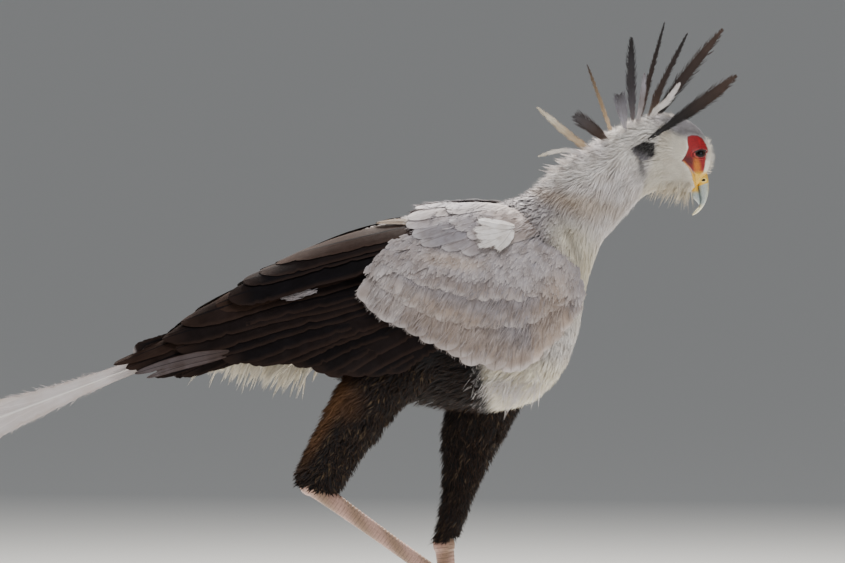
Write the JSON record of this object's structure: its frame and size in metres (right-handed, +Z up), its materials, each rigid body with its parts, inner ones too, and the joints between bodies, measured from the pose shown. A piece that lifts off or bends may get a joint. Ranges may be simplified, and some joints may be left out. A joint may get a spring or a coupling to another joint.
{
  "type": "secretary bird",
  "caption": "Life-size still model of a secretary bird in mid stride, head bent, with crest, folded wings and long tail, on a plain oval base.",
  "frame": {"origin": "middle of the base's underside", "axes": "+X the way the bird faces, +Y the bird's left, +Z up"},
  "size_m": [1.2537, 0.26, 1.1199],
  "materials": {
    "grey_plumage": "soft grey contour feathers, brownish towards the wing's edge",
    "black_plumage": "black feathers with a faint brown sheen",
    "pale_plumage": "white to cream loose feathers",
    "bill_horn": "smooth blue grey horn with a cream tip",
    "cere_skin": "waxy yellow to orange skin",
    "leg_skin": "pinkish tan scaled skin",
    "claw_horn": "dark blunt claws",
    "eye": "dark brown glossy eye",
    "base_board": "plain painted board with a bevelled edge"
  },
  "bodies": {
    "root": {"torso": "grey_plumage", "neck": "grey_plumage", "crest": "pale_plumage", "head": "pale_plumage", "eye_left": "eye", "eye_right": "eye", "cere": "cere_skin", "bill_upper": "bill_horn", "bill_lower": "bill_horn", "wing_left": "grey_plumage", "wing_right": "grey_plumage", "tail": "black_plumage", "thigh_left": "black_plumage", "thigh_right": "black_plumage", "tarsus_left": "leg_skin", "tarsus_right": "leg_skin", "foot_left": "leg_skin", "foot_right": "leg_skin", "claw_inner_left": "claw_horn", "claw_middle_left": "claw_horn", "claw_outer_left": "claw_horn", "claw_hind_left": "claw_horn", "claw_inner_right": "claw_horn", "claw_middle_right": "claw_horn", "claw_outer_right": "claw_horn", "claw_hind_right": "claw_horn", "stand_base": "base_board"}
  },
  "joints": []
}
